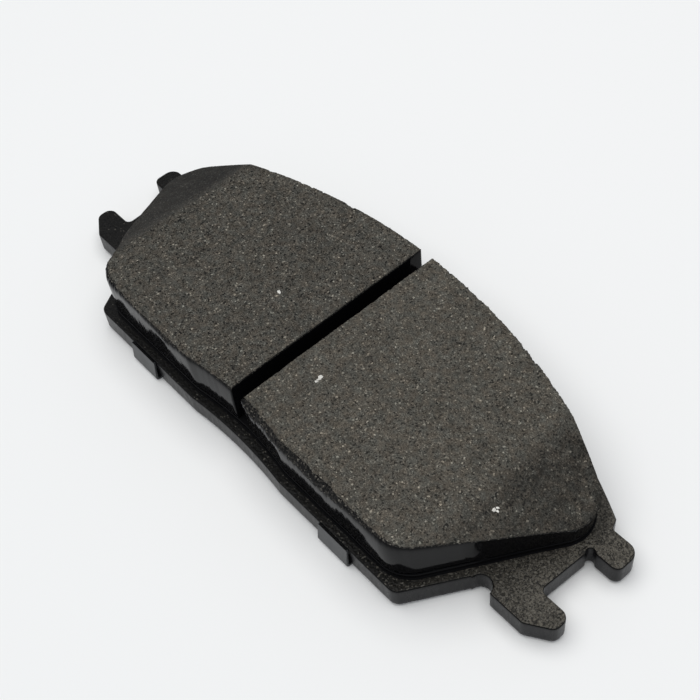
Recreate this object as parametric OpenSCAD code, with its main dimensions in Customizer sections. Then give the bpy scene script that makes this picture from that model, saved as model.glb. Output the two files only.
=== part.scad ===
// Disc brake pad for a floating caliper: a stamped steel backing plate with a
// two-pronged ear at each end, moulded friction material in two blocks divided
// by one cooling slot, and an anti-squeal shim clipped over the plate's edges.
// X runs along the pad, +Y points to the outer arc and +Z to the friction face.
// The origin is the middle of the footprint, on the back of the shim.

/* [Backing plate] */
// Length over the tips of the ears
plate_len = 147; // [143:0.5:151]
// Thickness of the stamped steel
plate_t = 5; // [4.4:0.1:5.5]
// Radius of the outer arc
plate_arc_r = 134; // [130:0.5:140]
// Depth from the near edge to the top of the outer arc
plate_depth = 58; // [57.5:0.1:59]
// Half of the straight near edge, up to the shoulder corner
shoulder_x = 48.2; // [46:0.1:49]
// Lean of the shoulders and of the block ends from the Y axis
shoulder_lean = 30; // [28:0.5:32]
// Rise of the shallow arch in the near edge
arch_rise = 0.9; // [0.6:0.1:1.4]
// Half width of the arches in the near edges of plate and blocks
arch_half = 14.5; // [12:0.5:17]

/* [Ears] */
// Near edge of the lower prong
prong_near_y = 12.7; // [12:0.1:14]
// Near side of the notch between the prongs
notch_near_y = 19.8; // [19:0.1:20.5]
// Width of the notch
notch_w = 12.6; // [12:0.1:13]
// Depth of the notch from the ear tip, on its near side
notch_depth = 7.3; // [6.5:0.1:7.5]
// Radius of the relief at the root of the lower prong
relief_r = 2.2; // [1.5:0.1:2.4]

/* [Friction blocks] */
// Height of the whole pad, shims included
pad_h = 18; // [17:0.1:19]
// Radius of the blocks' outer arc
block_arc_r = 138; // [135:0.5:141]
// Gap between the outer arcs of plate and blocks
block_far_gap = 3; // [2.6:0.1:3.4]
// Gap between the near edges of plate and blocks
block_near_gap = 2; // [1.8:0.1:2.6]
// Rise of the arch in the blocks' near edge
block_arch_rise = 1.3; // [0.9:0.1:1.6]
// Gap between the shoulder line and the block end, along X
block_end_gap = 2.2; // [2:0.1:3]
// Radius of the outer corner of a block
block_corner_r = 8; // [6:0.5:9]
// Radius of the near corner of a block
block_near_r = 8; // [3:0.5:9]
// Width of the cooling slot
slot_w = 3.4; // [2.5:0.1:4]
// Distance from the pad's middle to the start of the end chamfer
chamfer_x = 49; // [47:0.5:51]
// Slope of the end chamfer
chamfer_angle = 23; // [18:0.5:25]

/* [Underlayer] */
// Thickness of the underlayer between plate and blocks
under_t = 1.8; // [1.4:0.1:2.4]
// Height of the thin flash that spreads at its foot
flash_t = 0.4; // [0.3:0.1:0.6]
// How far the flash spreads past the blocks
flash_w = 0.3; // [0.2:0.1:0.8]
// Radius of the keying holes through the plate
key_r = 4.5; // [3.5:0.5:5.5]

/* [Shims] */
// Thickness of the rubber damping layer
damper_t = 0.3; // [0.25:0.05:0.4]
// Thickness of the steel shim
shim_t = 0.5; // [0.4:0.05:0.7]
// Margin between the shim and the plate's edges
shim_margin = 0.8; // [0.5:0.1:1.2]
// Distance from the pad's middle to each near tab
near_tab_x = 31.5; // [28:0.1:36]
// Width of a near tab
near_tab_w = 8.6; // [6:0.1:10]
// Angle from the pad's middle to each far tab, about the arc centre
far_tab_angle = 12; // [8:0.5:16]
// Width of a far tab
far_tab_w = 10; // [8:0.5:14]
// Inner radius of the fold at the root of a tab
tab_bend_r = 0.5; // [0.4:0.1:0.8]
// Inward lean of the near tabs
tab_lean = 6.5; // [4:0.5:12]

/* [Hidden] */
$fn = 96;

// Heights, from the back of the shim up
damper_z = shim_t;
plate_z = damper_z + damper_t;
under_z = plate_z + plate_t;
block_z = under_z + under_t;

// Rounded corners reach over their sides by this much, so that the two cross cleanly
seam = 0.005;

// Plate outline
tip_x = plate_len / 2;
notch_x = tip_x - notch_depth;
notch_far_y = notch_near_y + notch_w;
notch_skew = 0.7;
lean_run = tan(shoulder_lean);
tip_chamfer = [5.2, 3.3];
prong_tip_y = prong_near_y + tip_chamfer.y;
far_prong_w = 6.2;
ear_far_y = notch_far_y + far_prong_w;
step_depth = 6.7;
step_x = tip_x - step_depth;
step_lean = 9;
corner_r = 1.2;
shoulder_r = 2.5;
tip_r = min(2, (notch_near_y - prong_tip_y) / 1.7);
far_tip_r = 2.5;
far_tip_near_r = 1.7;
notch_corner_r = 0.9;
root_r = 0.4;
hidden_r = 1;
notch_relief_r = 0.9;
notch_relief_in = 0.4;
relief_gap = 0.3;
plate_arc_y = plate_depth - plate_arc_r;
relief_x = shoulder_x + prong_near_y * lean_run + relief_r + relief_gap;

// Friction outline
end_x = shoulder_x - block_end_gap;
block_arc_y = plate_depth - block_far_gap - block_arc_r;
key_holes = [[17, 31], [42, 27]];
beyond = 100;

// The block end is a line from [end_x, 0]; a round corner joins it to the outer arc
corner_x0 = end_x - block_corner_r / cos(shoulder_lean);
corner_a = 1 + lean_run * lean_run;
corner_b = 2 * (corner_x0 * lean_run - block_arc_y);
corner_c = corner_x0 * corner_x0 + block_arc_y * block_arc_y - pow(block_arc_r - block_corner_r, 2);
corner_y = (sqrt(corner_b * corner_b - 4 * corner_a * corner_c) - corner_b) / (2 * corner_a);
corner_at = [corner_x0 + corner_y * lean_run, corner_y];
to_end = [cos(shoulder_lean), -sin(shoulder_lean)];
to_arc = unit(corner_at - [0, block_arc_y]);
corner_reach = 1.4;

// Shim: the sheet follows the friction outline, and the tabs grip the plate
shim_grow = block_near_gap - shim_margin;
tab_clear = 0.05;
tab_drop = 0.2;
tab_top = under_z - tab_drop;
tab_tail = 3;

// Centre of a tab's fold, measured from the plate edge that the tab grips
function fold_y(lean) = tab_bend_r * cos(lean) - tab_clear
  - (tab_top - shim_t - tab_bend_r * (1 + sin(lean))) * tan(lean);
fold_reach = tab_bend_r + shim_t;
tab_reach = fold_reach - fold_y(tab_lean);

// The middle of the footprint, from the near edge's straight line
mid_y = (plate_depth - tab_reach) / 2;

// An outline's corners are [x, y, radius], listed anticlockwise
function flat(v) = [v.x, v.y];
function unit(v) = v / norm(v);
function cross_z(a, b) = a.x * b.y - a.y * b.x;
function both_sides(p) = concat(p, [for (i = [len(p) - 1:-1:0]) [-p[i].x, p[i].y, p[i].z]]);

// The two touching points, the centre and the direction of one rounded corner
function rounding(p, i) =
  let (
    n = len(p),
    here = flat(p[i]),
    back = unit(flat(p[(i + n - 1) % n]) - here),
    ahead = unit(flat(p[(i + 1) % n]) - here),
    half = acos(back * ahead) / 2,
    reach = p[i].z / tan(half),
    centre = here + unit(back + ahead) * p[i].z / sin(half)
  )
  [here + back * reach, here + ahead * reach, centre, cross_z(ahead, back) > 0];

module rounds(p, outward) {
  for (i = [0:len(p) - 1])
    if (rounding(p, i)[3] == outward)
      translate(rounding(p, i)[2])
        circle(p[i].z + seam);
}

module outline(p) {
  difference() {
    union() {
      polygon([for (i = [0:len(p) - 1]) each [rounding(p, i)[0], rounding(p, i)[1]]]);
      rounds(p, true);
    }
    rounds(p, false);
  }
}

// The disc whose top stands rise above the line y = base, and that crosses it at arch_half
module arch(base, rise) {
  r = (arch_half * arch_half + rise * rise) / (2 * rise);
  translate([0, base + rise - r])
    circle(r, $fn = 360);
}

module mirrored() {
  children();
  mirror([1, 0, 0])
    children();
}

module plate_outline() {
  right_side = [
    [shoulder_x, 0, shoulder_r],
    [shoulder_x + prong_near_y * lean_run, prong_near_y, root_r],
    [tip_x - tip_chamfer.x, prong_near_y, corner_r],
    [tip_x, prong_tip_y, tip_r],
    [tip_x, notch_near_y, tip_r],
    [notch_x, notch_near_y, corner_r],
    [notch_x + notch_skew, notch_far_y, root_r],
    [tip_x, notch_far_y, far_tip_near_r],
    [tip_x, ear_far_y, far_tip_r],
    [step_x, ear_far_y, notch_corner_r],
    [step_x - step_lean, plate_depth + hidden_r, hidden_r]
  ];
  difference() {
    intersection() {
      outline(both_sides(right_side));
      union() {
        translate([0, plate_arc_y])
          circle(plate_arc_r, $fn = 360);
        mirrored()
          translate([step_x, 0])
            square(beyond);
      }
    }
    arch(0, arch_rise);
    mirrored() {
      translate([relief_x, prong_near_y])
        circle(relief_r);
      translate([notch_x + notch_skew + notch_relief_in, notch_far_y - notch_relief_in])
        circle(notch_relief_r);
    }
  }
}

// What lies past the chord of a round corner of radius r, between block end and outer arc
module past_corner(r) {
  translate(corner_at)
    polygon([to_end * r, (to_end + to_arc) * r * corner_reach, to_arc * r]);
}

// The friction outline, moved outwards by grow
module pad_outline(grow) {
  near_y = block_near_gap - grow;
  side = end_x + grow / cos(shoulder_lean);
  r = block_corner_r + grow;
  right_side = [
    [side + near_y * lean_run, near_y, block_near_r + grow],
    [side + plate_depth * lean_run, plate_depth, hidden_r]
  ];
  difference() {
    union() {
      difference() {
        intersection() {
          outline(both_sides(right_side));
          translate([0, block_arc_y])
            circle(block_arc_r + grow, $fn = 360);
        }
        mirrored()
          past_corner(r);
      }
      for (side = [-1, 1])
        translate([side * corner_at.x, corner_at.y])
          circle(r + seam);
    }
    arch(near_y, block_arch_rise);
  }
}

module keys(height) {
  mirrored()
    for (at = key_holes)
      translate(at)
        cylinder(h = height, r = key_r);
}

// One friction block, on the +X side of the slot
module block() {
  translate([0, -mid_y, block_z])
    difference() {
      linear_extrude(pad_h - block_z)
        intersection() {
          pad_outline(0);
          translate([slot_w / 2, 0])
            square(beyond);
        }
      translate([chamfer_x, 0, pad_h - block_z])
        rotate([0, chamfer_angle, 0])
          cube(beyond);
    }
}

// Section of a tab across the plate's edge: tail, fold and upright
module tab_section(lean) {
  translate([fold_y(lean), 0])
    square([tab_tail - fold_y(lean), shim_t]);
  translate([fold_y(lean), fold_reach]) {
    intersection() {
      difference() {
        circle(fold_reach);
        circle(tab_bend_r);
      }
      polygon([[0, 0], [-cos(lean), sin(lean)] * tab_tail, [-tab_tail, -tab_tail], [0, -tab_tail]]);
    }
    rotate(-lean)
      translate([-fold_reach, 0])
        square([shim_t, (tab_top - fold_reach) / cos(lean)]);
  }
}

module tab(width, lean) {
  rotate([90, 0, 90])
    linear_extrude(width, center = true)
      tab_section(lean);
}

module backing_plate() {
  color([0.08, 0.08, 0.08])
    translate([0, -mid_y, plate_z])
      difference() {
        linear_extrude(plate_t)
          plate_outline();
        keys(plate_t);
      }
}

module underlayer() {
  color([0.11, 0.11, 0.12])
    translate([0, -mid_y, under_z]) {
      linear_extrude(under_t)
        pad_outline(0);
      linear_extrude(flash_t)
        pad_outline(flash_w);
      translate([0, 0, -plate_t])
        keys(plate_t);
    }
}

module friction_block_right() {
  color([0.24, 0.22, 0.2])
    block();
}

module friction_block_left() {
  color([0.24, 0.22, 0.2])
    mirror([1, 0, 0])
      block();
}

module damping_layer() {
  color([0.05, 0.05, 0.05])
    translate([0, -mid_y, damper_z])
      linear_extrude(damper_t)
        pad_outline(shim_grow);
}

module shim() {
  color([0.14, 0.14, 0.15])
    translate([0, -mid_y, 0]) {
      linear_extrude(shim_t)
        pad_outline(shim_grow);
      mirrored()
        translate([near_tab_x, 0, 0])
          tab(near_tab_w, tab_lean);
      for (side = [-1, 1])
        translate([0, plate_arc_y, 0])
          rotate(side * far_tab_angle)
            translate([0, plate_arc_r, 0])
              mirror([0, 1, 0])
                tab(far_tab_w, 0);
    }
}

backing_plate();
underlayer();
friction_block_left();
friction_block_right();
damping_layer();
shim();
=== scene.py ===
"""Looks of a disc brake pad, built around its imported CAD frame.

Every length in the helpers is in millimetres; a mesh is scaled to metres when it is made.
"""
import math

import bmesh
import bpy
import numpy as np
from mathutils import Matrix, Vector, geometry, kdtree, noise


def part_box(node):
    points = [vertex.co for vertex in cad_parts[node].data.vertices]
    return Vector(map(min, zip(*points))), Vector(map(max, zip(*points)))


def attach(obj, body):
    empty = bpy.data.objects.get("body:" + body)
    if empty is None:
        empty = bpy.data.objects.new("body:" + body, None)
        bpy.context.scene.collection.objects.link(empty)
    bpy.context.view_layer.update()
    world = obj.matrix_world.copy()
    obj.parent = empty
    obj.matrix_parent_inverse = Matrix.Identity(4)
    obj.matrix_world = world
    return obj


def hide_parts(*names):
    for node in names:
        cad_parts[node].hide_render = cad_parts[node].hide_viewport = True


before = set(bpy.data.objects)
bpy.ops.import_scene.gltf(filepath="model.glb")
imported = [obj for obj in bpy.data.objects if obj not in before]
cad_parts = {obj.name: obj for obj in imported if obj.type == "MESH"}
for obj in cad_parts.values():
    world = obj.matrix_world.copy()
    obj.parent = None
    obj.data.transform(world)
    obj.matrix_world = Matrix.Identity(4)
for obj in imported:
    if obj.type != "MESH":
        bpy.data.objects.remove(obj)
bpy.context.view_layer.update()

MM = 0.001
BODY = "root"
WELD = 1e-6  # metres, joins the CAD mesh's split vertices
FLAT = 0.002  # how far the corners of a flat face may lie from its height

# Camera, from the photograph's viewing angle
CAM_AZIMUTH, CAM_ELEVATION, CAM_ROLL = 54.945, 51.641, -7.964
CAM_TARGET = (2.110, 1.843, 9.0)
CAM_DISTANCE = 253.05
CAM_LENS, CAM_SENSOR = 62.219, 36.0


def level(node, side):
    """Height of a CAD node's lowest (side 0) or highest (side 1) point, in mm."""
    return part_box(node)[side].z / MM


PLATE_LOW, PLATE_TOP = level("backing_plate", 0), level("backing_plate", 1)
UNDER_TOP = level("underlayer", 1)
PAD_TOP = level("friction_block_left", 1)
CHAMFER_X = 49.0
CHAMFER_SLOPE = math.tan(math.radians(23))

# Spacing of the points along each outline, and of those inside a block's face
BLOCK_STEP, UNDER_STEP, PLATE_STEP, DAMPING_STEP = 0.26, 0.3, 0.4, 0.5
FACE_STEP = 0.30

# The moulded ends lean out by this much from the plate to the friction face
LEAN = 0.4
# Along the near side: X, lean, belly, and how far the rim of the face is worn back
NEAR_SIDE = np.array([
    (-46, 0.40, 0.05, 0.20), (-34, 0.45, 0.05, 0.20), (-26, 0.65, 0.00, 0.35),
    (-22, 0.95, 0.00, 0.60), (-18, 0.70, 0.00, 0.35), (-12, 0.40, 0.10, 0.20),
    (-8, 0.30, 0.20, 0.15), (-1, 0.20, 0.20, 0.35),
    (1, 0.20, 0.00, 0.70), (4, 0.80, 0.00, 1.25), (10, 0.80, 0.00, 1.05),
    (15, 0.55, 0.00, 0.85), (21, 0.55, 0.00, 1.10), (28, 0.60, 0.00, 1.10),
    (35, 0.45, 0.05, 0.55), (41, 0.30, 0.20, 0.35), (46, 0.25, 0.30, 0.25)])
ITS_LEAN, ITS_BELLY, ITS_WEAR = 1, 2, 3  # columns of NEAR_SIDE

# Rings of a block's wall: spread evenly up to the last depth under the rim, then at each depth
WALL_RINGS = 12
RIM_DEPTHS = [0, 0.14, 0.34, 0.65, 1.0, 1.4, 1.8, 2.3]
# The bands broken open take the crumbled rim's near-black colour, which is painted shade.
WHOLLY_BROKEN = 2  # bands under the rim that are broken open all the way round
CHIPPED_TO = 14  # the right block's near rim is chipped from the slot to this X

# The outer near corner of a block, where its rim is worn round: X, Y and how it fades along each
CORNER, CORNER_FADE = (44, -21), (5, 4)

# The underlayer's foot: shares of the flash's reach and of the layer's height
FOOT = [(1.0, 0.0), (1.0, 0.05), (0.9, 0.08), (0.45, 0.11), (0.12, 0.2), (0.0, 0.4),
        (0.0, 1.0)]
FLASH = 0.30

# The plate's rolled rim on its face, and the smaller one on its back
PLATE_RIM, PLATE_HEEL = 0.38, 0.16

# Numbers of the materials on a block, on the plate, on the underlayer and on the shim
FACE, WALL, BROKEN, PALE = range(4)
PAINTED, EDGE, DRAWN_BACK = range(3)
MOULDED, SKIN = range(2)
COATED, SHEARED = range(2)

# Stage: surround, and a round softbox overhead, its place and diameter in metres
SURROUND = (0.235, 0.25, 0.278)
SOFTBOX_AT = (-0.05, -0.08, 1.0)
SOFTBOX_SIZE = 1.5
SOFTBOX_POWER = 11.6
FLOOR_GAP = 0.02  # the floor lies this far under the shim, so that their faces don't meet

# The palest mineral grains in each block's face: x, y and half size
FLECKS = {
    "left": [(-14.2, -2.6, 0.62)],
    "right": [(9.15, -12.0, 0.60), (9.05, -11.4, 0.55), (8.95, -10.8, 0.64),
              (52.9, -7.2, 0.64), (53.4, -6.9, 0.56), (53.0, -6.5, 0.5)],
}

# Coarse grains that stand out of the far rim: x and half size
RIM_GRAINS = {
    "left": [(-30.5, 0.35)],
    "right": [(13.5, 0.38), (19.5, 0.35), (27.0, 0.3), (36.0, 0.42)],
}

# Small crumbs around each block's rim
CRUMBS = {"left": 60, "right": 150}

# Colours of the friction compound: its grains, their mean, flakes, the painted shade of small pits
# and closed skin
GRAIN_COLOURS = [
    (0.0, (0.026, 0.0241, 0.0205)), (0.25, (0.058, 0.0540, 0.0464)),
    (0.80, (0.088, 0.0819, 0.0706)), (0.96, (0.112, 0.105, 0.090)),
    (1.0, (0.21, 0.196, 0.165))]
MEAN_GRAIN = (0.073, 0.068, 0.0585)
FLAKE, PIT_SHADE = (0.28, 0.262, 0.222), (0.010, 0.0095, 0.009)
CLOSED = (0.027, 0.026, 0.0243)
# Factors that make it cooler and warmer, darken its far end partly as painted shade, and paint the
# shade of a crease across the chamfer
COOL, WARM = (0.95, 0.995, 1.01), (1.05, 1.0, 0.95)
DARKENED, CREASE_SHADE = (0.25, 0.25, 0.26), (0.45, 0.45, 0.46)
# The other colours
MOULD_BLACK = (0.004, 0.004, 0.0045)
PAINT_BLACK, EDGE_BLACK = (0.0045, 0.0045, 0.0045), (0.007, 0.007, 0.008)
# The plate's paint takes the first two as painted sheen and painted glints; EDGE_DUST is dust on its
# stamped edge.
SHEEN_SPECK, GLINT, EDGE_DUST = (0.20, 0.183, 0.150), (0.13, 0.122, 0.105), (0.04, 0.037, 0.033)
COATING = (0.018, 0.020, 0.022), (0.028, 0.031, 0.034)
SCUFF = (0.06, 0.06, 0.06)
RUBBER = (0.009, 0.009, 0.010), (0.018, 0.018, 0.018)
FLECK_SHADES = (0.50, 0.48, 0.44), (0.86, 0.85, 0.80)
# The floor's paint near and far: lighter towards the back as painted light falloff.
FLOOR_NEAR_SHADED, FLOOR_FAR_LIT = (0.885, 0.893, 0.893), (0.945, 0.948, 0.945)


# ---------------------------------------------------------------- outlines

def cad_loops(node, height):
    """Outlines of a CAD node's flat face at a height: anticlockwise, the longest first."""
    mesh = bmesh.new()
    mesh.from_mesh(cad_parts[node].data)
    bmesh.ops.remove_doubles(mesh, verts=mesh.verts, dist=WELD)

    def flat(face):
        return all(abs(v.co.z / MM - height) < FLAT for v in face.verts)

    ahead = {}
    for face in mesh.faces:
        if flat(face):
            for corner in face.loops:
                others = [f for f in corner.edge.link_faces if f is not face]
                if not any(flat(f) for f in others):
                    ahead[corner.vert] = corner.link_loop_next.vert
    loops = []
    while ahead:
        start = next(iter(ahead))
        chain, here = [], start
        while here in ahead:
            chain.append((here.co.x / MM, here.co.y / MM))
            here = ahead.pop(here)
        loop = np.array(chain)
        x, y = loop.T
        area = np.sum(x * np.roll(y, -1) - y * np.roll(x, -1))
        loops.append(loop if area > 0 else loop[::-1])
    mesh.free()
    return sorted(loops, key=length_of, reverse=True)


def length_of(loop):
    """The loop's length all the way round."""
    return float(np.linalg.norm(loop - np.roll(loop, 1, axis=0), axis=1).sum())


def resampled(loop, step):
    """The loop with its points evenly spread, about step apart."""
    closed = np.vstack([loop, loop[:1]])
    along = np.concatenate([[0], np.cumsum(np.linalg.norm(np.diff(closed, axis=0), axis=1))])
    at = np.linspace(0, along[-1], round(along[-1] / step), endpoint=False)
    return np.column_stack([np.interp(at, along, closed[:, k]) for k in range(2)])


def outward(loop):
    """Unit normals of an anticlockwise loop."""
    tangent = np.roll(loop, -1, axis=0) - np.roll(loop, 1, axis=0)
    normal = np.column_stack([tangent[:, 1], -tangent[:, 0]])
    return normal / np.linalg.norm(normal, axis=1)[:, None]


def spans(loop, y):
    """The x ranges inside the loop at one y."""
    x0, y0 = loop.T
    x1, y1 = np.roll(loop, -1, axis=0).T
    cross = (y0 > y) != (y1 > y)
    at = np.sort(x0[cross] + (y - y0[cross]) * (x1 - x0)[cross] / (y1 - y0)[cross])
    return zip(at[0::2], at[1::2])


def is_inside(loop, point):
    """Whether a point is inside the loop."""
    low, high = loop.min(0), loop.max(0)
    if not (low[0] < point[0] < high[0] and low[1] < point[1] < high[1]):
        return False
    return any(a < point[0] < b for a, b in spans(loop, point[1]))


def grid_inside(loop, step, rng):
    """Jittered staggered points inside the loop."""
    row_gap, shake = 0.866, 0.3  # shares of step
    found = []
    rows = np.arange(loop[:, 1].min(), loop[:, 1].max(), step * row_gap)
    for k, y in enumerate(rows):
        for low, high in spans(loop, y):
            x = np.arange(math.ceil(low / step) * step + (k % 2) * step / 2, high, step)
            x = x[x > low]
            jitter = rng.uniform(-shake, shake, (len(x), 2)) * step
            found.append(np.column_stack([x, np.full(len(x), y)]) + jitter)
    return np.vstack(found)


def far_from(points, loop, least):
    """Whether each point is at least that far from the loop's own points."""
    tree = kdtree.KDTree(len(loop))
    for k, p in enumerate(loop):
        tree.insert((p[0], p[1], 0), k)
    tree.balance()
    return np.array([tree.find((p[0], p[1], 0))[2] >= least for p in points])


def noise_at(points, scale, seed=0.0, depth=2):
    """Fractal noise from about -1 to 1 at 2D or 3D points."""
    flat = points.shape[1] == 2
    return np.array([
        noise.fractal(
            Vector((p[0] * scale + seed, p[1] * scale - seed, seed if flat else p[2] * scale)),
            1.0, 2.0, depth, noise_basis="PERLIN_ORIGINAL")
        for p in points])


# ---------------------------------------------------------------- meshes

NO_POINTS = np.zeros((0, 2))


class Shell:
    """Vertices and faces gathered for one mesh, each face with its material's number."""

    def __init__(self):
        self.points = []
        self.count = 0
        self.faces = []
        self.marks = []
        self.smooth = []

    def add(self, points):
        """Adds vertices, and gives their numbers."""
        self.points.append(np.asarray(points, float))
        start = self.count
        self.count += len(points)
        return np.arange(start, self.count)

    def put(self, faces, mark=0, smooth=True):
        """Adds faces of one material."""
        self.faces.extend(faces)
        self.marks.extend([mark] * len(faces))
        self.smooth.extend([smooth] * len(faces))

    def strip(self, low, high, mark=0, flip=False):
        """Quads between two closed rings of equally many vertices, with one mark or one each."""
        low_next, high_next = np.roll(low, -1), np.roll(high, -1)
        quads = np.column_stack([low, low_next, high_next, high])
        self.put((quads[:, ::-1] if flip else quads).tolist())
        self.marks[-len(low):] = np.broadcast_to(mark, len(low)).tolist()

    def sweep(self, loop, profile, mark=0, flip=False, last_marks=()):
        """Rings that follow the loop, each moved outwards by an offset, at a height.

        The last bands take last_marks as their materials, the others take mark."""
        normal = outward(loop)
        rings = []
        for offset, height in profile:
            spread = normal * np.broadcast_to(offset, len(loop))[:, None]
            rings.append(self.add(np.column_stack([
                loop + spread, np.broadcast_to(height, len(loop))])))
        marks = [mark] * (len(rings) - 1 - len(last_marks)) + list(last_marks)
        for low, high, its_mark in zip(rings, rings[1:], marks):
            self.strip(low, high, its_mark, flip)
        return rings

    def xy(self, ring):
        """The places of a ring's vertices, seen from above."""
        return np.vstack(self.points)[ring][:, :2]

    def cap(self, rings, inner=NO_POINTS, heights=NO_POINTS[:, 0], mark=0, flip=False, smooth=False):
        """Triangles inside the first ring and outside the others, through inner points."""
        everything = np.vstack(self.points)
        outlines = [everything[ring][:, :2] for ring in rings]
        extra = self.add(np.column_stack([inner, heights]))
        index = np.concatenate([*rings, extra])
        flat = [Vector(p) for p in np.vstack([*outlines, inner])]
        edges, start = [], 0
        for outline in outlines:
            n = len(outline)
            edges += [(start + k, start + (k + 1) % n) for k in range(n)]
            start += n
        made = geometry.delaunay_2d_cdt(flat, edges, [], 1, 1e-7)
        verts, faces, origin = made[0], made[2], made[3]
        source = [o[0] if o else -1 for o in origin]
        kept = []
        for face in faces:
            ids = [source[v] for v in face]
            if min(ids) < 0:
                continue
            middle = sum((verts[v] for v in face), Vector((0, 0))) / len(face)
            if any(is_inside(hole, middle) for hole in outlines[1:]):
                continue
            ids = [int(index[v]) for v in ids]
            kept.append(ids[::-1] if flip else ids)
        self.put(kept, mark, smooth)

    def build(self, name, *materials):
        """The Blender object, in metres."""
        mesh = bpy.data.meshes.new(name)
        mesh.from_pydata((np.vstack(self.points) * MM).tolist(), [], self.faces)
        mesh.polygons.foreach_set("material_index", self.marks)
        mesh.polygons.foreach_set("use_smooth", self.smooth)
        for material in materials:
            mesh.materials.append(material)
        mesh.validate()
        mesh.update()
        piece = bpy.data.objects.new(name, mesh)
        bpy.context.scene.collection.objects.link(piece)
        return piece


# ---------------------------------------------------------------- materials

class Paint:
    """A node tree being wired for one material, with coordinates in millimetres."""

    def __init__(self, name, **sockets):
        self.material = bpy.data.materials.new(name)
        self.material.use_nodes = True
        self.tree = self.material.node_tree
        self.shader = self.tree.nodes["Principled BSDF"]
        for key, value in sockets.items():
            self.shader.inputs[key.replace("_", " ")].default_value = value
        where = self.tree.nodes.new("ShaderNodeTexCoord")
        self.here = self.scaled(where.outputs["Object"], (1 / MM,) * 3)

    def node(self, kind, inputs=(), **settings):
        """A shader node, with a link or a value for each of its inputs."""
        made = self.tree.nodes.new("ShaderNode" + kind)
        for key, value in settings.items():
            setattr(made, key, value)
        for key, value in dict(inputs).items():
            socket = made.inputs[key]
            if isinstance(value, bpy.types.NodeSocket):
                self.tree.links.new(value, socket)
            else:
                socket.default_value = value
        return made

    def scaled(self, vector, scale):
        """A vector with its parts multiplied."""
        made = self.node("VectorMath", {0: vector, 1: scale}, operation="MULTIPLY")
        return made.outputs[0]

    def noise(self, scale, detail=3.0, rough=0.55, vector=None, distortion=0.0):
        """Fractal noise with about scale features a millimetre."""
        made = self.node("TexNoise", {
            "Vector": vector or self.here, "Scale": scale, "Detail": detail,
            "Roughness": rough, "Distortion": distortion})
        return made.outputs["Fac"]

    def cells(self, scale, output="Color"):
        """Cells, about scale to a millimetre: a random colour each, or the distance in them."""
        return self.node("TexVoronoi", {"Vector": self.here, "Scale": scale}).outputs[output]

    def channel(self, colour, which=0):
        """One channel of a colour."""
        return self.node("SeparateColor", {0: colour}).outputs[which]

    def ramp(self, value, *stops):
        """Colours, or greys, between stops along a value."""
        made = self.node("ValToRGB", {0: value})
        bar = made.color_ramp
        while len(bar.elements) < len(stops):
            bar.elements.new(1.0)
        for element, (at, colour) in zip(bar.elements, stops):
            element.position = at
            element.color = (*colour, 1) if isinstance(colour, tuple) else (colour,) * 3 + (1,)
        return made.outputs[0]

    def mix(self, share, first, second, blend="MIX"):
        """The first colour with a share of the second."""
        made = self.node("Mix", data_type="RGBA", blend_type=blend)
        for socket, value in zip((made.inputs[0], made.inputs[6], made.inputs[7]),
                                 (share, first, second)):
            if isinstance(value, bpy.types.NodeSocket):
                self.tree.links.new(value, socket)
            elif isinstance(value, tuple):
                socket.default_value = (*value, 1)
            else:
                socket.default_value = value
        return made.outputs[2]

    def math(self, operation, first, second=0.0):
        """One sum of two values."""
        return self.node("Math", {0: first, 1: second}, operation=operation).outputs[0]

    def spread(self, value, low, high, to_low, to_high):
        """A value from one range mapped to another and held within it."""
        return self.node("MapRange", {
            0: value, 1: low, 2: high, 3: to_low, 4: to_high}).outputs[0]

    def bump(self, height, distance, strength=1.0, after=None):
        """Bump whose height of 1 stands for distance millimetres."""
        inputs = {"Height": height, "Distance": distance * MM, "Strength": strength}
        if after is not None:
            inputs["Normal"] = after
        return self.node("Bump", inputs).outputs[0]

    def set(self, **links):
        """Links the shader's inputs, and gives the finished material."""
        for key, value in links.items():
            self.tree.links.new(value, self.shader.inputs[key.replace("_", " ")])
        return self.material


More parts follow.
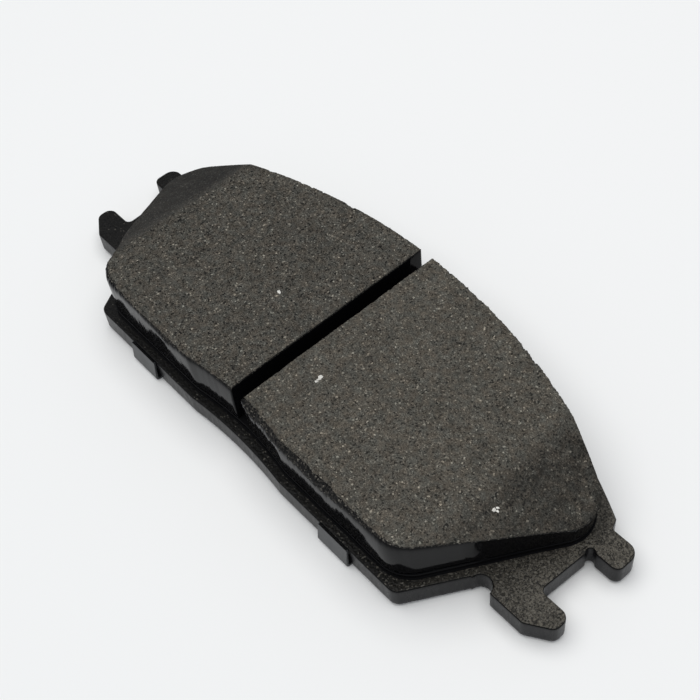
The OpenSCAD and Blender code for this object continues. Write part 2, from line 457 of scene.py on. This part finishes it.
def friction_material(name, tint_and_painted_light, contrast, chamfer, far_end):
    """Granular sintered compound: grains, pits painted dark as shade and a few metallic and mineral
    flecks.

    Past the ridge of the end chamfer it is closed, by the share chamfer, and it is darker by the
    share far_end, most of all on the far side;
    both darken it partly as painted shade and partly as the compound. The painted shade of a crease
    wanders across it."""
    p = Paint(name, IOR=1.25)
    grain = p.channel(p.cells(4.4))
    coarse = p.channel(p.cells(3.0), 1)
    fine = p.noise(4.4, 2.0, 0.6)
    medium = p.noise(1.3, 3.0, 0.6)
    cloud = p.noise(0.25, 4.0, 0.6)
    hue = p.noise(0.6, 2.0, 0.5)
    base = p.mix(1.0 - contrast, p.ramp(grain, *GRAIN_COLOURS), MEAN_GRAIN)
    base = p.mix(p.ramp(coarse, (0.976, 0.0), (0.995, contrast)), base, FLAKE)
    # Small dark spots: painted shade of pits.
    base = p.mix(p.ramp(coarse, (0.04, contrast), (0.12, 0.0)), base, PIT_SHADE)
    for value, swing in ((fine, 0.52 * contrast), (medium, 0.28 * contrast), (cloud, 0.15)):
        shade = p.ramp(value, (0.3, 1.0 - swing), (0.7, 1.0 + swing))
        base = p.mix(1.0, base, shade, "MULTIPLY")
    base = p.mix(1.0, base, p.ramp(hue, (0.35, COOL), (0.65, WARM)), "MULTIPLY")
    # The tint is partly the compound's own tone and partly painted light, lighter on the right
    # block.
    base = p.mix(1.0, base, tint_and_painted_light, "MULTIPLY")

    place = p.node("SeparateXYZ", {0: p.here})
    along = p.math("ABSOLUTE", place.outputs[0])
    ridge = p.math("ADD", along, p.spread(medium, 0.3, 0.7, -1.2, 1.2))
    closed = p.spread(ridge, CHAMFER_X - 1.5, CHAMFER_X + 2.5, 0.0, chamfer)
    base = p.mix(closed, base, CLOSED)
    # Darker past the ridge and on the far side: partly painted shade on the chamfer, partly the
    # compound.
    deep = p.spread(ridge, CHAMFER_X - 1.0, CHAMFER_X + 4.0, 0.0, far_end)
    deep = p.math("MULTIPLY", deep, p.spread(place.outputs[1], -16.0, 6.0, 0.4, 1.0))
    blotch = p.ramp(p.noise(0.32, 4.0, 0.6), (0.38, 0.45), (0.56, 1.15))
    base = p.mix(p.math("MULTIPLY", deep, blotch), base, DARKENED, "MULTIPLY")
    # A dark wandering line across the chamfer: painted shade of a crease.
    wander = p.math("ADD", along, p.spread(p.noise(0.18, 4.0, 0.6), 0.3, 0.7, -2.2, 2.2))
    crease = p.math("ABSOLUTE", p.math("ADD", wander, -CHAMFER_X - 4.6))
    base = p.mix(p.ramp(crease, (0.0, 0.55), (0.35, 0.0)), base, CREASE_SHADE, "MULTIPLY")

    rough = p.spread(grain, 0.85, 1.0, 0.85, 0.5)
    height = p.math("ADD", p.math("MULTIPLY", fine, 0.6), p.math("MULTIPLY", grain, 0.4))
    return p.set(Base_Color=base, Roughness=rough, Normal=p.bump(height, 0.13, 0.9))


def crumbled_shaded_material():
    """The compound where its rim has crumbled: rough and open, with a few pale grains, and near
    black as painted shade among the crumbs.
    """
    p = Paint("friction_compound_rim_shaded", IOR=1.25)
    grain = p.channel(p.cells(3.2))
    fine = p.noise(6.0, 3.0, 0.6)
    # Mostly near black, which is painted shade among the crumbs; the palest stops are the compound's
    # grains.
    base = p.ramp(grain, (0.0, 0.005), (0.55, 0.013), (0.9, (0.045, 0.042, 0.037)),
                  (0.98, (0.14, 0.13, 0.11)))
    return p.set(Base_Color=base, Roughness=p.spread(fine, 0.3, 0.7, 0.75, 0.95),
                 Normal=p.bump(fine, 0.2, 0.9))


def moulded_material(name, colour, rough_low, rough_high):
    """Smooth skin of the moulded sides, drawn faintly upwards by the mould."""
    p = Paint(name, IOR=1.15)
    upright = p.scaled(p.here, (1.0, 1.0, 0.12))
    streak = p.noise(0.35, 3.0, 0.5, upright)
    pores = p.noise(1.6, 2.0, 0.5)
    dust = p.noise(7.0, 2.0, 0.6)
    tone = p.mix(p.ramp(dust, (0.70, 0.0), (0.82, 0.5)), colour, tuple(5 * c for c in colour))
    rough = p.spread(pores, 0.3, 0.7, rough_low, rough_high)
    relief = p.bump(streak, 0.12, 0.5)
    relief = p.bump(pores, 0.005, 0.5, relief)
    return p.set(Base_Color=tone, Roughness=rough, Normal=relief)


def plate_material():
    """Black powder paint over grit-blasted steel: granular, with painted sheen on its high spots
    and sparse painted glints, both thinning out towards -X.

    The dust thins out towards -X."""
    p = Paint("plate_paint", IOR=1.2)
    peel = p.noise(1.5, 3.0, 0.6)
    grit = p.cells(2.1, output="Distance")
    speck = p.channel(p.cells(3.6), 1)
    small = p.noise(5.5, 2.0, 0.6)
    cloud = p.noise(0.3, 3.0, 0.5)
    along = p.node("SeparateXYZ", {0: p.here}).outputs[0]
    # Painted sheen on the grit's high spots, strongest towards +X.
    sheen_towards_plus_x = p.math("MULTIPLY", p.spread(along, 44.0, 73.0, 0.05, 0.95),
                   p.ramp(cloud, (0.3, 0.8), (0.7, 1.15)))
    share = p.math("MULTIPLY", p.ramp(speck, (0.1, 0.10), (1.0, 0.85)), sheen_towards_plus_x)
    share = p.math("MULTIPLY", share, p.ramp(small, (0.34, 0.35), (0.62, 1.05)))
    colour = p.mix(share, PAINT_BLACK, SHEEN_SPECK)
    # Sparse painted glints, more of them towards +X.
    sparse = p.spread(along, -10.0, 56.0, 0.012, 0.13)
    glint = p.math("GREATER_THAN", p.math("ADD", p.channel(p.cells(3.0), 2), sparse), 1.0)
    colour = p.mix(p.math("MULTIPLY", glint, 0.6), colour, GLINT)
    rough = p.spread(peel, 0.3, 0.7, 0.24, 0.38)
    relief = p.bump(grit, 0.16, 0.6)
    relief = p.bump(peel, 0.22, 0.6, relief)
    return p.set(Base_Color=colour, Roughness=rough, Normal=relief)


def rim_material():
    """Where the paint has drawn back over the stamped rim: black and glossy. On the shim's sheared
    tab edges the same black is painted shade.
    """
    p = Paint("plate_paint_rim", IOR=1.2)
    drag = p.noise(2.0, 3.0, 0.5)
    colour = p.ramp(drag, (0.3, 0.0035), (0.7, 0.007))
    return p.set(Base_Color=colour, Roughness=p.spread(drag, 0.3, 0.7, 0.2, 0.32),
                 Normal=p.bump(drag, 0.02, 0.5))


def edge_material():
    """The same paint on the stamped edge, where it lies smooth."""
    p = Paint("plate_paint_edge", IOR=1.22)
    upright = p.scaled(p.here, (1.0, 1.0, 0.25))
    drag = p.noise(1.6, 3.0, 0.5, upright)
    dust = p.cells(2.6, output="Distance")
    colour = p.mix(p.ramp(dust, (0.0, 0.5), (0.12, 0.0)), EDGE_BLACK, EDGE_DUST)
    rough = p.spread(drag, 0.3, 0.7, 0.24, 0.36)
    return p.set(Base_Color=colour, Roughness=rough, Normal=p.bump(drag, 0.03, 0.5))


def shim_material():
    """Rubber-coated steel: fine matt stipple with faint press marks."""
    p = Paint("shim_coating", IOR=1.55)
    stipple = p.noise(6.0, 2.0, 0.6)
    cloud = p.noise(0.08, 4.0, 0.6, distortion=0.6)
    scuff = p.noise(0.5, 4.0, 0.7, p.scaled(p.here, (0.25, 1.6, 1.0)))
    colour = p.mix(p.ramp(cloud, (0.35, 0.0), (0.65, 1.0)), *COATING)
    colour = p.mix(p.ramp(scuff, (0.66, 0.0), (0.76, 0.35)), colour, SCUFF)
    rough = p.spread(cloud, 0.3, 0.7, 0.30, 0.46)
    relief = p.bump(stipple, 0.02, 0.6)
    relief = p.bump(cloud, 0.25, 0.3, relief)
    return p.set(Base_Color=colour, Roughness=rough, Normal=relief)


def rubber_material():
    """Damping rubber: matt, slightly mottled, squeezed out unevenly."""
    p = Paint("damping_rubber", IOR=1.48)
    mottle = p.noise(0.8, 4.0, 0.6)
    pores = p.cells(4.0, output="Distance")
    colour = p.mix(p.ramp(mottle, (0.4, 0.0), (0.62, 1.0)), *RUBBER)
    rough = p.spread(mottle, 0.3, 0.7, 0.55, 0.8)
    return p.set(Base_Color=colour, Roughness=rough, Normal=p.bump(pores, 0.03, 0.5))


def fleck_material():
    """A pale mineral grain."""
    p = Paint("mineral_fleck", IOR=1.55)
    dull, bright = FLECK_SHADES
    tone = p.ramp(p.noise(6.0, 2.0, 0.5), (0.35, dull), (0.65, bright))
    return p.set(Base_Color=tone, Roughness=p.spread(p.noise(9.0), 0.3, 0.7, 0.35, 0.6),
                 Normal=p.bump(p.noise(5.0), 0.05, 0.6))


# ---------------------------------------------------------------- shapes

def wall_wave(points):
    """How far the moulded side stands proud of its outline, the same at every height.

    Blocks and underlayer share it, so that their sides stay flush."""
    return 0.05 * noise_at(points, 0.11, 3.7, 2) + 0.012 * noise_at(points, 0.6, 8.1, 2)


def crest(x):
    """Height of the ground friction face, which falls away over the end chamfers."""
    return PAD_TOP - np.maximum(0, np.abs(x) - CHAMFER_X) * CHAMFER_SLOPE


def near_side(loop, column):
    """A column of NEAR_SIDE at each point of the loop."""
    return np.interp(loop[:, 0], NEAR_SIDE[:, 0], NEAR_SIDE[:, column])


def nearness(normal):
    """How far each normal belongs to the near side, from 0 to 1."""
    return np.clip((-normal[:, 1] - 0.75) / 0.2, 0, 1)


def draft(loop, normal, height):
    """How far a moulded side leans and bellies out at a height.

    The far side leans in at its foot."""
    share = (height - PLATE_TOP) / (crest(loop[:, 0]) - PLATE_TOP)
    far = np.clip((normal[:, 1] + 0.1) / 0.6, 0, 1)
    near = nearness(normal)
    lean = LEAN + (near_side(loop, ITS_LEAN) - LEAN) * near
    belly = near_side(loop, ITS_BELLY)
    return lean * (share - far) + belly * near * 4 * share * (1 - share)


def crumb(shell, centre, size, rng, mark=FACE, flat=1.0):
    """An angular grain, part sunk in the surface that it sits on.

    A grain that is ground down has its height multiplied by flat."""
    ball = bmesh.new()
    bmesh.ops.create_icosphere(ball, subdivisions=1, radius=1.0)
    shape = np.array([v.co for v in ball.verts]) * rng.uniform(0.55, 1.15, (len(ball.verts), 1))
    shape = shape * rng.uniform(0.6, 1.25, 3) * size * (1, 1, flat)
    turn = np.array(Matrix.Rotation(rng.uniform(0, math.tau), 3, "Z"))
    index = shell.add(shape @ turn.T + centre)
    shell.put([[int(index[v.index]) for v in f.verts] for f in ball.faces], mark, False)
    ball.free()


class Block:
    """A friction block's outline, and what has worn off at each point of it."""

    def __init__(self, side):
        self.side = side
        self.name = "left" if side < 0 else "right"
        self.node = "friction_block_" + self.name
        self.rng = np.random.default_rng(71 + side)
        self.loop = resampled(cad_loops(self.node, UNDER_TOP)[0], BLOCK_STEP)
        self.normal = outward(self.loop)
        x, y = self.loop.T
        self.on_chamfer = np.abs(x) > CHAMFER_X + 0.5
        self.far = self.normal[:, 1] > 0.5
        self.in_slot = side * self.normal[:, 0] < -0.9
        self.at_corner = np.exp(-(np.maximum(0, CORNER[0] - np.abs(x)) / CORNER_FADE[0]) ** 2) \
            * np.exp(-(np.maximum(0, y - CORNER[1]) / CORNER_FADE[1]) ** 2)
        self.worn_back = near_side(self.loop, ITS_WEAR) * nearness(self.normal) * ~self.in_slot
        self.chipped = self.worn_back * (side > 0) * (x < CHIPPED_TO)
        self.inset = self.rim_inset()
        self.reach = 0.25 + 0.35 * self.inset
        drop = 0.04 + self.inset * (0.3 + 0.4 * self.rng.uniform(0, 1, len(x)))
        self.rim = crest(x) - drop
        self.proud = wall_wave(self.loop)

    def rim_inset(self):
        """How far the rim is set back, by its roughness, its bites and its wear."""
        loop, side = self.loop, self.side
        rough = np.where(self.far, 0.07 + 0.03 * side, 0.03) + 0.02 * self.in_slot \
            + 0.08 * self.worn_back
        rough = np.where(self.on_chamfer, 0.02, rough) + 0.10 * self.at_corner * (side < 0)
        ragged = np.abs(noise_at(loop, 1.5, 5.2, 3))
        bites = np.maximum(0, noise_at(loop, 0.55, 9.4 + side, 2) - 0.30) * 1.3
        inset = 0.04 + rough * (0.5 + 2.2 * ragged) \
            + bites * (0.15 + 0.3 * self.far) * ~self.on_chamfer
        inset += self.rng.uniform(0, 1, len(loop)) * rough * 0.8
        inset += self.worn_back * (1 + 0.35 * noise_at(loop, 0.5, 31.0, 2))
        inset += self.at_corner * (0.6 if side < 0 else 0.2)
        return inset

    def out_at(self, height):
        """How far the wall stands out of the outline; the rim's wear fades down the wall."""
        out = self.proud + draft(self.loop, self.normal, height) * ~self.in_slot \
            - 0.3 * self.at_corner * (self.side < 0)
        return out - self.inset * np.exp(np.minimum(0, height - self.rim) / self.reach)

    def torn_at(self, depth):
        """The material of each quad in the band under the rim that starts at a depth."""
        at = np.column_stack([self.loop, np.full(len(self.loop), depth)])
        open_grain = self.worn_back * (1 + 0.6 * noise_at(at, 0.9, 17.0, 3)) \
            + 0.9 * self.chipped * noise_at(at, 0.35, 41.0, 2)
        return np.where(open_grain > 0.12 + 0.42 * depth, BROKEN, WALL)

    def add_walls(self, shell):
        """The wall and the foot, and the ring of vertices along the rim."""
        profile = []
        for share in np.linspace(0.0, 1.0, WALL_RINGS):
            height = UNDER_TOP + (self.rim - RIM_DEPTHS[-1] - UNDER_TOP) * share
            profile.append((self.out_at(height), height))
        for depth in RIM_DEPTHS[-2::-1]:
            profile.append((self.out_at(self.rim - depth), self.rim - depth))
        torn = [self.torn_at(depth) for depth in RIM_DEPTHS[:WHOLLY_BROKEN:-1]]
        rings = shell.sweep(self.loop, profile, WALL, last_marks=(*torn, *[BROKEN] * WHOLLY_BROKEN))
        shell.cap([rings[0]], mark=WALL, flip=True)
        return rings[-1]

    def add_face(self, shell, ring):
        """The ground face inside the rim: fine relief and pits, closed up over the chamfer."""
        edge = shell.xy(ring)
        inner = grid_inside(edge - outward(edge) * 0.22, FACE_STEP, self.rng)
        inner = inner[far_from(inner, edge, 0.13)]
        height = crest(inner[:, 0])
        on_slope = np.abs(inner[:, 0]) > CHAMFER_X
        closed = np.where(on_slope, 0.35 if self.side < 0 else 0.8, 1.0)
        fine = noise_at(inner, 2.6, 1.3, 2)
        coarse = noise_at(inner, 1.1, 6.1, 3)
        height += closed * (np.minimum(0.012, 0.05 * fine) + np.minimum(0, coarse + 0.28) * 0.10)
        height -= closed * np.maximum(0, noise_at(inner, 0.9, 14.2, 2) - 0.45) * 0.45
        height += on_slope * 0.04 * noise_at(inner, 0.5, 21.0, 3)
        shell.cap([ring], inner, height, FACE, smooth=True)

    def add_grains(self, shell, edge):
        """Crumbs round the rim, coarse grains on its far side and pale ones in the face."""
        rng = self.rng
        share = np.where(self.far & ~self.on_chamfer, 1.0, 0.12) + self.chipped \
            + self.at_corner * (self.side > 0)
        share /= share.sum()
        for k in rng.choice(len(self.loop), CRUMBS[self.name], p=share):
            size = rng.uniform(0.08, 0.20) * (1.8 if rng.random() < 0.07 else 1.0)
            at = edge[k] - self.normal[k] * rng.uniform(-0.08, 0.3)
            crumb(shell, np.array([*at, self.rim[k] - rng.uniform(0.05, 0.3)]), size, rng)
        for x, size in RIM_GRAINS[self.name]:
            k = int(np.argmin(np.abs(self.loop[:, 0] - x) + 100 * ~self.far))
            at = edge[k] - self.normal[k] * size * 0.2
            crumb(shell, np.array([*at, self.rim[k] - size * 0.3]), size, rng)
        for x, y, size in FLECKS[self.name]:
            level_with = float(crest(np.array(x))) - size * 0.08
            crumb(shell, np.array([x, y, level_with]), size, rng, PALE, flat=0.4)


def friction_block(side):
    """One block: striated moulded sides, a crumbling rim and a granular ground face."""
    block = Block(side)
    name, node = block.name, block.node
    shell = Shell()
    rim_ring = block.add_walls(shell)
    block.add_face(shell, rim_ring)
    block.add_grains(shell, shell.xy(rim_ring))
    piece = shell.build(f"friction_compound_{name}", friction_face[name], friction_side,
                        friction_rim_crumbled_shaded, fleck)
    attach(piece, BODY)
    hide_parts(node)


def backing_plate():
    """The stamped plate: a rolled rim on the face, a small one on the back, keying holes."""
    rim, heel = PLATE_RIM, PLATE_HEEL
    outlines = cad_loops("backing_plate", PLATE_TOP)
    outer = resampled(outlines[0], PLATE_STEP)
    drag = 0.02 * noise_at(outer, 0.5, 4.4, 3)
    shell = Shell()
    profile = []
    for turn in np.linspace(0, 90, 4):
        a = math.radians(turn)
        profile.append((heel * (math.sin(a) - 1), PLATE_LOW + heel * (1 - math.cos(a))))
    for share in np.linspace(0.15, 0.85, 6):
        profile.append((drag, PLATE_LOW + heel + (PLATE_TOP - rim - PLATE_LOW - heel) * share))
    for turn in np.linspace(0, 90, 6):
        a = math.radians(turn)
        profile.append((rim * (math.cos(a) - 1), PLATE_TOP - rim * (1 - math.sin(a))))
    last_marks = (DRAWN_BACK, DRAWN_BACK, DRAWN_BACK, PAINTED, PAINTED)
    rings = shell.sweep(outer, profile, EDGE, last_marks=last_marks)
    holes_low, holes_top = [], []
    for hole in outlines[1:]:
        low, high = shell.sweep(hole, [(0, PLATE_LOW), (0, PLATE_TOP)], EDGE, flip=True)
        holes_low.append(low)
        holes_top.append(high)
    shell.cap([rings[-1], *holes_top], mark=PAINTED)
    shell.cap([rings[0], *holes_low], mark=PAINTED, flip=True)
    piece = shell.build("plate_steel", plate_paint, plate_edge, rim_black_and_tab_shade)
    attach(piece, BODY)
    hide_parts("backing_plate")


def underlayer():
    """The layer under both blocks, its foot squeezed out into a thin flash."""
    outer = resampled(cad_loops("underlayer", UNDER_TOP)[0], UNDER_STEP)
    proud = wall_wave(outer)
    normal = outward(outer)
    flash = FLASH + 0.05 * noise_at(outer, 0.35, 2.2, 3)
    shell = Shell()
    profile = []
    for reach, share in FOOT:
        height = PLATE_TOP + (UNDER_TOP - PLATE_TOP) * share
        profile.append((proud + draft(outer, normal, height) + flash * reach, height))
    rings = shell.sweep(outer, profile, SKIN)
    plugs = []
    for hole in cad_loops("backing_plate", PLATE_TOP)[1:]:
        low, high = shell.sweep(hole, [(0, PLATE_LOW), (0, PLATE_TOP)], SKIN)
        shell.cap([low], mark=MOULDED, flip=True)
        plugs.append(high)
    shell.cap([rings[-1]], mark=MOULDED)
    shell.cap([rings[0], *plugs], mark=MOULDED, flip=True)
    piece = shell.build("underlayer_compound", under_face, friction_side)
    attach(piece, BODY)
    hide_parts("underlayer")


def damping_layer():
    """The rubber sheet between shim and plate, its edge bulging unevenly."""
    low, high = level("damping_layer", 0), level("damping_layer", 1)
    outer = resampled(cad_loops("damping_layer", high)[0], DAMPING_STEP)
    bulge = 0.10 + 0.08 * noise_at(outer, 0.3, 7.5, 3)
    shell = Shell()
    profile = [(bulge * math.sin(math.pi * share), low + (high - low) * share)
               for share in np.linspace(0, 1, 6)]
    rings = shell.sweep(outer, profile)
    shell.cap([rings[-1]])
    shell.cap([rings[0]], flip=True)
    piece = shell.build("damping_rubber", rubber)
    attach(piece, BODY)
    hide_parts("damping_layer")


def shim():
    """The folded sheet: the CAD solid with its sheared edges broken and tab corners eased."""
    mesh = bmesh.new()
    mesh.from_mesh(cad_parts["shim"].data)
    bmesh.ops.remove_doubles(mesh, verts=mesh.verts, dist=WELD)
    bmesh.ops.dissolve_limit(mesh, angle_limit=math.radians(0.5), verts=mesh.verts,
                             edges=mesh.edges)
    tab_foot = 1.2  # the sheared faces of the tabs have their middles above this height
    # The tabs' sheared faces take the black rim material: painted shade for the dark line where each
    # tab stands against the plate's edge.
    for face in mesh.faces:
        sheared = abs(face.normal.x) > 0.8 or face.normal.z > 0.8
        at_tab = face.calc_center_median().z / MM > tab_foot
        face.material_index = SHEARED if sheared and at_tab else COATED

    # The corners of the tabs' ends: level edges about as long as the sheet is thick
    corners = []
    for edge in mesh.edges:
        a, b = (v.co / MM for v in edge.verts)
        high = min(a.z, b.z) > PLATE_TOP - 0.6
        if high and 0.3 < (a - b).length < 0.7 and len(edge.link_faces) == 2 \
                and edge.calc_face_angle() > 1.2 and abs(a.z - b.z) < 0.3:
            corners.append(edge)
    bmesh.ops.bevel(mesh, geom=corners, offset=0.3 * MM, segments=3, profile=0.5,
                    affect="EDGES")
    sharp = [e for e in mesh.edges if len(e.link_faces) == 2 and e.calc_face_angle() > 0.7]
    bmesh.ops.bevel(mesh, geom=sharp, offset=0.07 * MM, segments=2, profile=0.5,
                    affect="EDGES")
    bmesh.ops.triangulate(mesh, faces=mesh.faces)

    # The bevels leave vertices and faces in an order that changes from run to run
    places = sorted(mesh.verts, key=lambda vert: tuple(vert.co))
    number = {vert: k for k, vert in enumerate(places)}
    faces = []
    for face in mesh.faces:
        ids = [number[vert] for vert in face.verts]
        first = ids.index(min(ids))
        faces.append((ids[first:] + ids[:first], face.material_index))
    shell = Shell()
    shell.add(np.array([vert.co for vert in places]) / MM)
    for ids, mark in sorted(faces):
        shell.put([ids], mark, smooth=False)
    mesh.free()
    piece = shell.build("shim_sheet", shim_coat, rim_black_and_tab_shade)
    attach(piece, BODY)
    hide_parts("shim")


# ---------------------------------------------------------------- stage

def stage():
    """Pale floor painted lighter towards the back, a painted light falloff, one large overhead
    softbox, a dim surround and the camera.
    """
    floor_paint = Paint("floor", Roughness=0.9, IOR=1.3)
    # The floor's paint runs lighter towards the back: painted light falloff.
    across = floor_paint.node("SeparateXYZ", {0: floor_paint.here}).outputs[1]
    tone = floor_paint.ramp(floor_paint.spread(across, -170.0, 170.0, 0.0, 1.0),
                            (0.0, FLOOR_NEAR_SHADED), (1.0, FLOOR_FAR_LIT))
    floor_paint.set(Base_Color=tone)
    mesh = bmesh.new()
    bmesh.ops.create_grid(mesh, x_segments=1, y_segments=1, size=2.0)
    data = bpy.data.meshes.new("floor")
    mesh.to_mesh(data)
    mesh.free()
    data.materials.append(floor_paint.material)
    floor = bpy.data.objects.new("floor", data)
    floor.location.z = -FLOOR_GAP * MM
    bpy.context.scene.collection.objects.link(floor)

    world = bpy.data.worlds.new("surround")
    world.use_nodes = True
    world.node_tree.nodes["Background"].inputs[0].default_value = (*SURROUND, 1)
    world.node_tree.nodes["Background"].inputs[1].default_value = 1.0
    bpy.context.scene.world = world

    lamp = bpy.data.lights.new("softbox", "AREA")
    lamp.shape = "DISK"
    lamp.size = SOFTBOX_SIZE
    lamp.energy = SOFTBOX_POWER
    lamp.color = (1.0, 0.99, 0.965)
    light = bpy.data.objects.new("softbox", lamp)
    away = Vector(SOFTBOX_AT)
    light.location = away
    light.rotation_mode = "QUATERNION"
    light.rotation_quaternion = away.to_track_quat("Z", "Y")
    bpy.context.scene.collection.objects.link(light)

    az, el, roll = (math.radians(v) for v in (CAM_AZIMUTH, CAM_ELEVATION, CAM_ROLL))
    back = Vector((math.sin(az) * math.cos(el), -math.cos(az) * math.cos(el), math.sin(el)))
    level_right = Vector((math.cos(az), math.sin(az), 0))
    level_up = back.cross(level_right)
    right = math.cos(roll) * level_right + math.sin(roll) * level_up
    up = back.cross(right)
    lens = bpy.data.cameras.new("camera")
    lens.lens, lens.sensor_width = CAM_LENS, CAM_SENSOR
    lens.clip_start, lens.clip_end = 0.01, 20
    camera = bpy.data.objects.new("camera", lens)
    turn = Matrix((right, up, back)).transposed().to_4x4()
    camera.matrix_world = Matrix.Translation(
        (Vector(CAM_TARGET) + back * CAM_DISTANCE) * MM) @ turn
    bpy.context.scene.collection.objects.link(camera)
    bpy.context.scene.camera = camera
    bpy.context.scene.view_settings.view_transform = "Standard"


plate_paint, plate_edge, rim_black_and_tab_shade = plate_material(), edge_material(), rim_material()
# The two blocks are lit and shaded copies of one compound: the right one is painted lighter and the
# left one darker, with more dark skin on its chamfer. This is partly painted light and shade and
# partly the compound's own tone.
friction_face = {
    "left": friction_material("friction_compound_left", tint_and_painted_light=(0.97, 0.97, 0.97),
                              contrast=1.05, chamfer=0.75, far_end=0.45),
    "right": friction_material("friction_compound_right", tint_and_painted_light=(1.16, 1.15, 1.135),
                               contrast=0.85, chamfer=0.12, far_end=0.62)}
friction_rim_crumbled_shaded = crumbled_shaded_material()
friction_side = moulded_material("friction_compound_side", MOULD_BLACK, 0.05, 0.12)
under_face = moulded_material("underlayer_compound", MOULD_BLACK, 0.3, 0.5)
fleck = fleck_material()
shim_coat, rubber = shim_material(), rubber_material()

backing_plate()
underlayer()
friction_block(-1)
friction_block(1)
damping_layer()
shim()
stage()
